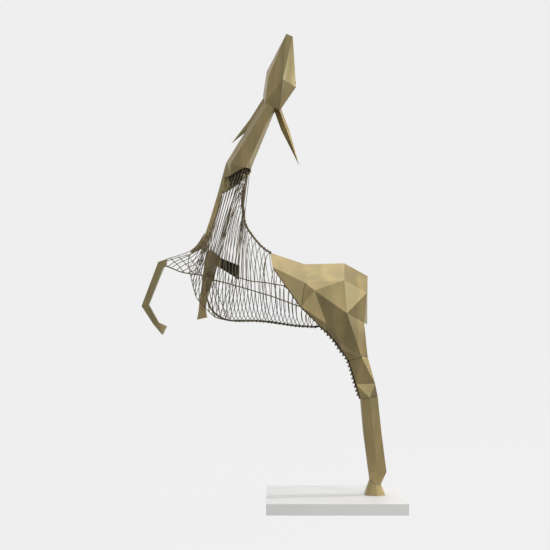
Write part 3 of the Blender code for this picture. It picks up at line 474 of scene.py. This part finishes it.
def white_paint():
    """Matt white paint with a roller's fine texture and slightly greyed patches."""
    made = bpy.data.materials.new("white_paint")
    made.use_nodes = True
    nodes, links = made.node_tree.nodes, made.node_tree.links
    shader = nodes["Principled BSDF"]
    shader.inputs["Roughness"].default_value = PAINT_ROUGHNESS
    coords = nodes.new("ShaderNodeTexCoord").outputs["Object"]
    patch = noise(nodes, links, coords, *PATCHES)
    color = mix_color(nodes, links, ramp(nodes, links, patch, PATCH_RANGE), PAINT_LIGHT, PAINT_GREYED)
    links.new(color, shader.inputs["Base Color"])
    bump = nodes.new("ShaderNodeBump")
    bump.inputs["Strength"].default_value = PAINT_GRAIN_STRENGTH
    bump.inputs["Distance"].default_value = PAINT_GRAIN_HEIGHT
    links.new(noise(nodes, links, coords, *PAINT_GRAIN), bump.inputs["Height"])
    links.new(bump.outputs["Normal"], shader.inputs["Normal"])
    return made


def add_piece(name, mesh, material):
    """A visible piece of the object that rides on its one body."""
    mesh.materials.clear()
    mesh.materials.append(material)
    made = bpy.data.objects.new(name, mesh)
    bpy.context.scene.collection.objects.link(made)
    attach(made, "root")
    return made


def inner_faces(bm, least_hits, below):
    """The faces of a sheet's inner skin below a height.

    A face is one of them if least_hits or more of the rays that leave it meet the piece again.
    """
    tree = BVHTree.FromBMesh(bm)
    shaded_faces = []
    for face in bm.faces:
        side = face.normal.orthogonal().normalized()
        up = face.normal.cross(side)
        start = face.calc_center_median() + face.normal * RAY_OFFSET
        hits = 0
        for step in range(RAYS):
            angle = 2 * math.pi * step / RAYS
            spread = (side * math.cos(angle) + up * math.sin(angle)) * RAY_SPREAD
            hits += tree.ray_cast(start, (face.normal + spread).normalized())[0] is not None
        if hits >= least_hits and start.z < below:
            shaded_faces.append(face)
    return shaded_faces


def folded_sheet(node, material, shaded_inside, least_hits, below=math.inf, shade_from=math.inf):
    """The node's own form with its folds rounded as in bent sheet, and its inner skin in a dark finish that
    paints in its shade.

    The inner skin's painted shade lies below a height. Past the given x the piece stays closed, but its near
    faces there get the painted shade too, as if it lay open towards the near side.
    """
    bm = bmesh.new()
    bm.from_mesh(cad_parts[node].data)
    bmesh.ops.remove_doubles(bm, verts=bm.verts, dist=SAME_POINT)
    bmesh.ops.dissolve_limit(bm, angle_limit=math.radians(FLAT_ANGLE), verts=bm.verts, edges=bm.edges)
    bm.normal_update()
    bm.faces.index_update()
    shaded_faces = inner_faces(bm, least_hits, below)
    # Near faces of the closed sheet past this x are painted dark as the shade of an open mouth
    past_shade_from = [face for face in bm.faces if face.calc_center_median().x > shade_from]
    shaded_faces += [face for face in past_shade_from if face.normal.y < -SHADE_FACING]
    mesh = bpy.data.meshes.new(node + "_folded")
    bm.to_mesh(mesh)
    piece = add_piece(node + "_folded", mesh, material)
    mesh.materials.append(shaded_inside)
    for face in shaded_faces:
        mesh.polygons[face.index].material_index = 1
    bevel = piece.modifiers.new("folds", "BEVEL")
    bevel.width = FOLD_WIDTH
    bevel.segments = FOLD_SEGMENTS
    bevel.limit_method = "ANGLE"
    bevel.angle_limit = math.radians(FOLD_ANGLE)
    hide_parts(node)


def weld_seams(material):
    """Thin weld beads along the folds where two sheets meet, on both sides."""
    bm = bmesh.new()
    for seam in SEAMS:
        for side in (-1.0, 1.0):
            line = []
            for a, b in zip(seam, seam[1:]):
                start, end = place(a[0], side * a[1], a[2]), place(b[0], side * b[1], b[2])
                steps = max(2, round((end - start).length / SEAM_STEP))
                line += [start.lerp(end, step / steps) for step in range(steps)]
            line.append(end)
            add_tube(bm, line, SEAM_RADIUS, SEAM_SIDES, SEAM_BUMPS)
    add_piece("weld_seams", mesh_of("weld_seams", bm), material)


def plinth_slab(material):
    """The painted slab with slightly rounded edges."""
    bm = bmesh.new()
    bmesh.ops.create_cube(bm, size=1.0)
    size = PLINTH_HIGH - PLINTH_LOW
    middle = (PLINTH_HIGH + PLINTH_LOW) / 2
    for vert in bm.verts:
        vert.co = Vector([middle[axis] + vert.co[axis] * size[axis] for axis in range(3)])
    mesh = bpy.data.meshes.new("plinth_slab")
    bm.to_mesh(mesh)
    piece = add_piece("plinth_slab", mesh, material)
    bevel = piece.modifiers.new("edges", "BEVEL")
    bevel.width = PLINTH_EDGE
    bevel.segments = PLINTH_EDGE_SEGMENTS
    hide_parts("plinth")


def smooth_line(points, steps):
    """Points along a Catmull-Rom curve through the given points, ends included."""
    points = [Vector(point) for point in points]
    guides = [2 * points[0] - points[1]] + points + [2 * points[-1] - points[-2]]
    line = []
    for index in range(len(points) - 1):
        before, start, end, after = guides[index:index + 4]
        for step in range(steps):
            t = step / steps
            bend = 2 * before - 5 * start + 4 * end - after
            twist = 3 * start - before - 3 * end + after
            line.append(0.5 * (2 * start + (end - before) * t + bend * t ** 2 + twist * t ** 3))
    line.append(points[-1])
    return line


def side_line(points):
    """A smooth line in the middle plane from (x, z) points in hundredths."""
    return smooth_line([place(x, 0.0, z) for x, z in points], SIDE_LINE_STEPS)


def line_length(line):
    """Length of a line of points."""
    return sum((b - a).length for a, b in zip(line, line[1:]))


def along(line, fraction):
    """The point at a fraction of the line's length."""
    wanted = fraction * line_length(line)
    for a, b in zip(line, line[1:]):
        step = (b - a).length
        if wanted <= step:
            return a.lerp(b, wanted / step)
        wanted -= step
    return line[-1].copy()


def height_at(line, x):
    """The line's height at x, for a line that runs towards +X, with its end slopes continued."""
    for a, b in zip(line, line[1:]):
        if x <= b.x:
            break
    return a.z + (b.z - a.z) * (x - a.x) / (b.x - a.x)


def at_x(line, x):
    """The point where a line that runs towards +X passes x."""
    for a, b in zip(line, line[1:]):
        if x <= b.x:
            break
    part = min(1.0, max(0.0, (x - a.x) / (b.x - a.x)))
    return a.lerp(b, part)


def value_at(table, x):
    """A value between the table's neighbouring places, level beyond its ends."""
    for (x0, value0), (x1, value1) in zip(table, table[1:]):
        if x <= x1:
            return value0 + (value1 - value0) * max(0.0, (x - x0) / (x1 - x0))
    return table[-1][1]


def piecewise(lines, ends, part):
    """A point on several lines in a row, each of which holds the parts up to its own end."""
    start = 0.0
    for line, end in zip(lines, ends):
        if part <= end:
            return along(line, (part - start) / (end - start))
        start = end
    return lines[-1][-1]


def share(value):
    """A length in metres from hundredths of the deer's height."""
    return value * DEER_HEIGHT / 100.0


def between(limits, part):
    """A length in metres between two limits given in hundredths."""
    return share(limits[0] + (limits[1] - limits[0]) * part)


def hoop_bow(side, x):
    """How far a half hoop that ends at x bows along the body for each unit that it stands out."""
    table = FAR_HOOP_BOWS if side > 0 else NEAR_HOOP_BOWS
    return value_at([(place(end, 0.0, 0.0).x, bow) for end, bow in table], x)


def half_hoop(start, start_width, end, width, side):
    """A wire from its start down one side of the cage to its end on the middle plane, swelling to a width."""
    first = math.asin(min(1.0, start_width / width))
    rise = 1.0 + math.cos(first)
    lean = hoop_bow(side, end.x)
    line = []
    for step in range(HALF_HOOP_STEPS + 1):
        angle = first + (math.pi - first) * step / HALF_HOOP_STEPS
        part = (1.0 + math.cos(angle)) / rise
        out = width * math.sin(angle)
        bow = side * lean * (out - start_width * part)
        if side > 0:
            bow *= min(1.0, FAR_BOW_FADE * (1.0 - part))
        x = end.x + (start.x - end.x) * part + bow
        z = end.z + (start.z - end.z) * part
        line.append(Vector((x, side * out, z)))
    return line


def drape(start, end, swell, side, sag=0.0):
    """A wire between two points that swells sideways and sags below its chord on the way."""
    line = []
    for step in range(DRAPE_STEPS + 1):
        bulge = math.sin(math.pi * step / DRAPE_STEPS)
        point = start.lerp(end, step / DRAPE_STEPS)
        line.append(point + Vector((-sag, side * swell, -sag)) * bulge)
    return line


def on_side(points, side=1.0):
    """Points in metres, with their depth turned to one side."""
    return [place(x, side * y, z) for x, y, z in points]


def strip_edge(side):
    """One back edge of the throat strip, from its tip up to the neck."""
    corners = zip(THROAT_FRONT, THROAT_BACK, THROAT_HALF_WIDTHS)
    return [place(x + back, side * half, z + down) for (x, z), (back, down), half in corners][::-1]


def crossing(wire, guide):
    """Where a wire passes a guide line's height, both seen from the side."""
    for a, b in zip(wire, wire[1:]):
        above, below = a.z - height_at(guide, a.x), b.z - height_at(guide, b.x)
        if above > 0.0 >= below:
            return a.lerp(b, above / (above - below))
    return None


def hoop_wires(back, chest, guides):
    """The hoops round chest and belly, and where they cross the guides of the two stringers."""
    first_x, last_x = place(FIRST_HOOP_X, 0.0, 0.0).x, place(LAST_HOOP_X, 0.0, 0.0).x
    widths = [(place(x, 0.0, 0.0).x, share(width)) for x, width in CAGE_HALF_WIDTHS]
    hoops = round((last_x - first_x) / HOOP_SPACING)
    full_hoops = round((back[-1].x - first_x) / HOOP_SPACING)
    wires = []
    crossings = {-1: [], 1: []}
    chance = random.Random(UNEVEN_SEED)
    for index in range(hoops + 1):
        x = first_x + (last_x - first_x) * index / hoops
        x = min(last_x, max(first_x, x + HOOP_SPACING * chance.uniform(-UNEVEN_SPACING, UNEVEN_SPACING)))
        end = at_x(chest, x)
        for side in (-1, 1):
            width = value_at(widths, x) * (1.0 - chance.uniform(0.0, UNEVEN_WIDTH))
            if index < full_hoops:
                start, start_width = along(back, (index + 0.5 + HOOP_STAGGER * side) / full_hoops), 0.0
            else:
                rim = on_side(HINDQUARTERS_RIM, side)
                start = at_x(rim, x + side * hoop_bow(side, x) * abs(at_x(rim, x).y))
                start_width = abs(start.y)
            wire = half_hoop(start, start_width, end, max(width, start_width * LEAST_SWELL), side)
            wires.append(wire)
            spot = crossing(wire, guides[side])
            if spot and (side < 0 or spot.x > guides[side][0].x + HOOP_SPACING):
                crossings[side].append(spot)
    return wires, crossings


def near_throat_wires(near_rod_front):
    """The sleeve's wires, and the near wires from throat strip and neck rim down to the near stringer."""
    sleeve = SLEEVE_WIRES + SLEEVE_INNER_WIRES + SLEEVE_RODS
    wires = [smooth_line(on_side(wire), RIM_STEPS) for wire in sleeve]
    for count, start_line, first, ends in ((STRIP_WIRES, strip_edge(-1), STRIP_START, STRIP_ENDS),
                                           (NECK_WIRES, on_side(NECK_RIM_NEAR), NECK_START, NECK_ENDS)):
        for index in range(count):
            part = (index + 0.5) / count
            end_part = ends[0] + (ends[1] - ends[0]) * part
            start = along(start_line, first + (1.0 - first) * part)
            end = along(near_rod_front, end_part)
            wires.append(drape(start, end, between(NEAR_SWELL, end_part), -1, share(NEAR_SAG) * end_part))
    return wires


def shin_ties():
    """Short slanted wires round the rear edge of the far foreleg's shin."""
    lowest, highest = SHIN_TIE_HEIGHTS
    ties = []
    for index in range(SHIN_TIES):
        height = lowest + (highest - lowest) * index / (SHIN_TIES - 1)
        ties.append(smooth_line([place(x, y, height + z) for x, y, z in SHIN_TIE], TIE_STEPS))
    return ties


def flat_strip(bm, line, half_width):
    """Adds a flat strip along a line in the middle plane, narrower at both ends."""
    last = len(line) - 1
    depth = Vector((0.0, ROD_RADIUS * STRIP_THICKNESS_SHARE, 0.0))
    rings = []
    for index, point in enumerate(line):
        before, after = line[max(index - 1, 0)], line[min(index + 1, last)]
        tangent = (after - before).normalized()
        share_here = min(1.0, STRIP_END_SHARE + STRIP_WIDENING * math.sin(math.pi * index / last))
        out = Vector((tangent.z, 0.0, -tangent.x)) * (half_width * share_here)
        corners = (out - depth, out + depth, depth - out, -out - depth)
        rings.append([bm.verts.new(point + corner) for corner in corners])
    for ring, following in zip(rings, rings[1:]):
        for corner in range(4):
            after = (corner + 1) % 4
            bm.faces.new((ring[corner], ring[after], following[after], following[corner]))
    bm.faces.new(rings[0][::-1])
    bm.faces.new(rings[-1])


def far_throat_wires(chest_front):
    """The far wires from throat strip and neck rim down to the chest's front rod."""
    starts = [strip_edge(1), on_side(NECK_RIM_FAR)[::-1]]
    wires = []
    for index in range(FAR_THROAT_WIRES):
        part = (index + 0.5) / FAR_THROAT_WIRES
        start = piecewise(starts, [FAR_STRIP_SHARE, 1.0], part)
        end = along(chest_front, FAR_WIRES_END_FROM + (1.0 - FAR_WIRES_END_FROM) * part)
        wires.append(drape(start, end, between(FAR_SWELL, part), 1))
    return wires


def chest_wires(near_rod_front, chest_front):
    """Wires from the near stringer's front down to the chest's front rod."""
    wires = []
    for index in range(CHEST_WIRES):
        part = (index + 0.5) / CHEST_WIRES
        start = along(near_rod_front[-CHEST_WIRE_POINTS:], part)
        end = along(chest_front, CHEST_WIRES_END_FROM + (1.0 - CHEST_WIRES_END_FROM) * part)
        wires.append(drape(start, end, abs(start.y) * CHEST_SWELL, -1))
    return wires


def leg_rungs():
    """The rod down the open front of the hind leg, and the rungs across it."""
    rim = on_side(LEG_RIM)
    last = len(rim) - 1
    rod = []
    for index, point in enumerate(rim):
        ahead = rim[min(index + 1, last)] - rim[max(index - 1, 0)]
        outward = Vector((ahead.z, 0.0, -ahead.x)).normalized()
        rod.append(Vector((point.x, 0.0, point.z)) + outward * (STRINGER_RADIUS + LEG_ROD_GAP))
    rod = smooth_line(rod, LEG_STEPS)
    rim = smooth_line(rim, LEG_STEPS)
    count = round(line_length(rod) / RUNG_SPACING)
    rungs = []
    for index in range(1, count):
        spot, half = along(rod, index / count), along(rim, index / count).y
        ahead = along(rod, (index + LOOK_AHEAD) / count) - along(rod, (index - LOOK_AHEAD) / count)
        proud = Vector((ahead.z, 0.0, -ahead.x)).normalized() * RUNG_PROUD
        rungs.append([spot - Vector((0.0, half, 0.0)), spot + proud, spot + Vector((0.0, half, 0.0))])
    return rod, rungs


def add_tube(bm, line, radius, sides, bumps=0.0):
    """Adds a tube with closed ends along the line. Bumps swell and thin it a little, as a hand weld does."""
    last = len(line) - 1
    tangents = [(line[min(i + 1, last)] - line[max(i - 1, 0)]).normalized() for i in range(len(line))]
    side = tangents[0].orthogonal().normalized()
    rings = []
    for index, (point, tangent) in enumerate(zip(line, tangents)):
        side = (side - tangent * side.dot(tangent)).normalized()
        up = tangent.cross(side)
        here = radius * (1.0 + bumps * math.sin(index * BUMP_WAVES[0]) * math.sin(index * BUMP_WAVES[1]))
        ring = []
        for corner in range(sides):
            angle = 2 * math.pi * corner / sides
            ring.append(bm.verts.new(point + (side * math.cos(angle) + up * math.sin(angle)) * here))
        rings.append(ring)
    for ring, following in zip(rings, rings[1:]):
        for corner in range(sides):
            after = (corner + 1) % sides
            bm.faces.new((ring[corner], ring[after], following[after], following[corner])).smooth = True
    bm.faces.new(rings[0][::-1])
    bm.faces.new(rings[-1])


def wrap_round(rod, spot, rod_radius):
    """A wire's end wound once and a bit round a rod at the spot."""
    nearest = min(range(1, len(rod) - 1), key=lambda i: (rod[i] - spot).length)
    axis = (rod[nearest + 1] - rod[nearest - 1]).normalized()
    side = axis.orthogonal().normalized()
    up = axis.cross(side)
    reach = rod_radius + WIRE_RADIUS * WRAP_SEAT
    line = []
    for step in range(WRAP_STEPS + 1):
        turn = step / WRAP_STEPS * WRAP_TURNS
        angle = 2 * math.pi * turn
        line.append(spot + axis * (turn - WRAP_TURNS / 2) * WIRE_RADIUS * WRAP_PITCH
                    + (side * math.cos(angle) + up * math.sin(angle)) * reach)
    return line


def add_blob(bm, spot, radius):
    """Adds a small round weld bead."""
    made = bmesh.ops.create_icosphere(bm, subdivisions=1, radius=radius)
    for vert in made["verts"]:
        vert.co = vert.co + spot
        for face in vert.link_faces:
            face.smooth = True


def mesh_of(name, bm):
    """The finished mesh."""
    mesh = bpy.data.meshes.new(name)
    bm.to_mesh(mesh)
    return mesh


def cage_rods(material, back, chest_front, belly, leg_rod, stringers):
    """The contour rods, the flat strip on the back rod, the leg rod and the stringers."""
    bm = bmesh.new()
    branch = smooth_line(on_side(BREAST_BRANCH) + belly[:1], SIDE_LINE_STEPS)
    add_tube(bm, branch + belly[1:] + leg_rod[:1], ROD_RADIUS, ROD_SIDES, ROD_BUMPS)
    add_tube(bm, back, ROD_RADIUS, ROD_SIDES, ROD_BUMPS)
    add_tube(bm, chest_front + belly[:1], WIRE_RADIUS, CHEST_WIRE_SIDES)
    add_tube(bm, leg_rod, STRINGER_RADIUS, LEG_ROD_SIDES, STRINGER_BUMPS)
    low, high = [place(0.0, 0.0, z).z for z in STRIP_HEIGHTS]
    flat_strip(bm, [point for point in back if low < point.z < high], STRIP_HALF_WIDTH)
    for rod in stringers:
        add_tube(bm, smooth_line(rod, STRINGER_STEPS), STRINGER_RADIUS, STRINGER_SIDES, STRINGER_BUMPS)
    piece = add_piece("cage_rods", mesh_of("cage_rods", bm), material)
    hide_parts("wire_cage")


def cage_wires(material, wires):
    """All the round wires and the rungs, those of the far side a little thinner."""
    bm = bmesh.new()
    for wire in wires:
        add_tube(bm, wire, WIRE_RADIUS if wire[len(wire) // 2].y < 0.0 else FAR_WIRE_RADIUS, WIRE_SIDES)
    add_piece("cage_wires", mesh_of("cage_wires", bm), material)


def wound_wire_ends(material, hoops, rods, rungs, leg_rod):
    """The hoops' ends wound round the back and belly rods, and each rung's middle round the leg rod."""
    bm = bmesh.new()
    for rod in rods:
        for wire in hoops:
            for spot in (wire[0], wire[-1]):
                nearest = min((point - spot).length for point in rod)
                if nearest < HOOP_SPACING / 2 and abs(spot.y) < WIRE_RADIUS:
                    add_tube(bm, wrap_round(rod, spot, ROD_RADIUS), WIRE_RADIUS * WRAP_THICKER, WIRE_SIDES)
    for rung in rungs:
        turns = wrap_round(leg_rod, rung[1], STRINGER_RADIUS)
        add_tube(bm, turns, WIRE_RADIUS * RUNG_WRAP_THICKER, WIRE_SIDES)
    add_piece("wound_wire_ends", mesh_of("wound_wire_ends", bm), material)


def weld_beads(material, stringers, hoops, rungs):
    """Beads where hoops cross the stringers, and where hoops and rungs meet the sheet's rim."""
    bm = bmesh.new()
    for rod in stringers:
        for spot in rod[1:-1]:
            add_blob(bm, spot, STRINGER_RADIUS * STRINGER_BEAD)
    for wire in hoops:
        if abs(wire[0].y) > OFF_MIDDLE:
            add_blob(bm, wire[0], WIRE_RADIUS * RIM_BEAD)
    for rung in rungs:
        add_blob(bm, rung[0], WIRE_RADIUS * RUNG_BEAD)
        add_blob(bm, rung[2], WIRE_RADIUS * RUNG_BEAD)
    add_piece("weld_beads", mesh_of("weld_beads", bm), material)


def wire_cage(material):
    """Rods, wires, the wires' wound ends and the small weld beads, in place of the cage's coarse solid."""
    back = side_line(BACK_ROD)
    chest = side_line(CHEST_ROD + BELLY_ROD)
    chest_front = [point for point in chest if point.x < place(BELLY_ROD[0][0], 0.0, 0.0).x]
    belly = chest[len(chest_front):]
    guides = {-1: [place(x, 0.0, z) for x, z in NEAR_STRINGER],
              1: [place(x, 0.0, z) for x, z in FAR_STRINGER]}
    leg_rod, rungs = leg_rungs()
    hoops, crossings = hoop_wires(back, chest, guides)
    near_front = [place(x, -depth, z) for (x, z), depth in zip(NEAR_STRINGER, NEAR_STRINGER_DEPTHS)]
    near_front.append(crossings[-1][0])
    near_rod = near_front + crossings[-1][1:] + [on_side(HINDQUARTERS_RIM, -1)[STRINGER_END_CORNER]]
    far_rod = [place(FAR_STRINGER[0][0], FAR_STRINGER_START_DEPTH, FAR_STRINGER[0][1])] + crossings[1]
    far_rod.append(at_x(on_side(HINDQUARTERS_RIM), guides[1][-1].x))
    stringers = (near_rod, far_rod)

    wires = hoops + near_throat_wires(near_front) + far_throat_wires(chest_front)
    wires += chest_wires(near_front, chest_front) + shin_ties()
    wires += [smooth_line(on_side(rim), RIM_STEPS) for rim in (NECK_RIM_NEAR, NECK_RIM_FAR)]
    cage_rods(material, back, chest_front, belly, leg_rod, stringers)
    cage_wires(material, wires + rungs)
    wound_wire_ends(material, hoops, (back, belly), rungs, leg_rod)
    weld_beads(material, stringers, hoops, rungs)


make_camera()
make_stage()
# Finishes of the outer skins, the inner skins with painted shade, the far foreleg's closed near wall with
# deeper painted shade where a dark mouth would be, and the wires and rods
SHEET = bronze("bronze_sheet", light=(0.42, 0.32, 0.145, 1.0), dark=(0.33, 0.28, 0.135, 1.0), roughness=0.5,
               bump_height=SHEET_GRAIN_HEIGHT)
# The inner skins' dark colour is painted shade, not a finish that the bronze has inside
INSIDE_PAINTED_SHADE = bronze("bronze_inside_painted_shade", light=(0.10, 0.088, 0.048, 1.0), dark=(0.07, 0.062, 0.034, 1.0),
                roughness=0.62, bump_height=SHEET_GRAIN_HEIGHT)
DEEP_PAINTED_SHADE = bronze("bronze_painted_deep_shade", light=(0.042, 0.037, 0.022, 1.0), dark=(0.026, 0.023, 0.014, 1.0),
              roughness=0.7, bump_height=SHEET_GRAIN_HEIGHT)
WIRE = bronze("bronze_wire", light=(0.21, 0.165, 0.085, 1.0), dark=(0.12, 0.095, 0.05, 1.0), roughness=0.36,
              bump_height=WIRE_GRAIN_HEIGHT)
# Each sheet's inner skin takes the dark finish as painted shade
folded_sheet("hindquarters_and_hind_leg", SHEET, INSIDE_PAINTED_SHADE, least_hits=5)
folded_sheet("head_and_neck", SHEET, INSIDE_PAINTED_SHADE, least_hits=3, below=place(0.0, 0.0, NECK_HOLLOW_TOP).z)
folded_sheet("near_foreleg", SHEET, INSIDE_PAINTED_SHADE, least_hits=RAYS)
# The far foreleg's near faces past the mouth line are painted in deep shade; the sheet is not cut open
folded_sheet("far_foreleg", SHEET, DEEP_PAINTED_SHADE, least_hits=5, shade_from=place(ARM_SHADE_X, 0.0, 0.0).x)
weld_seams(WIRE)
plinth_slab(white_paint())
wire_cage(WIRE)
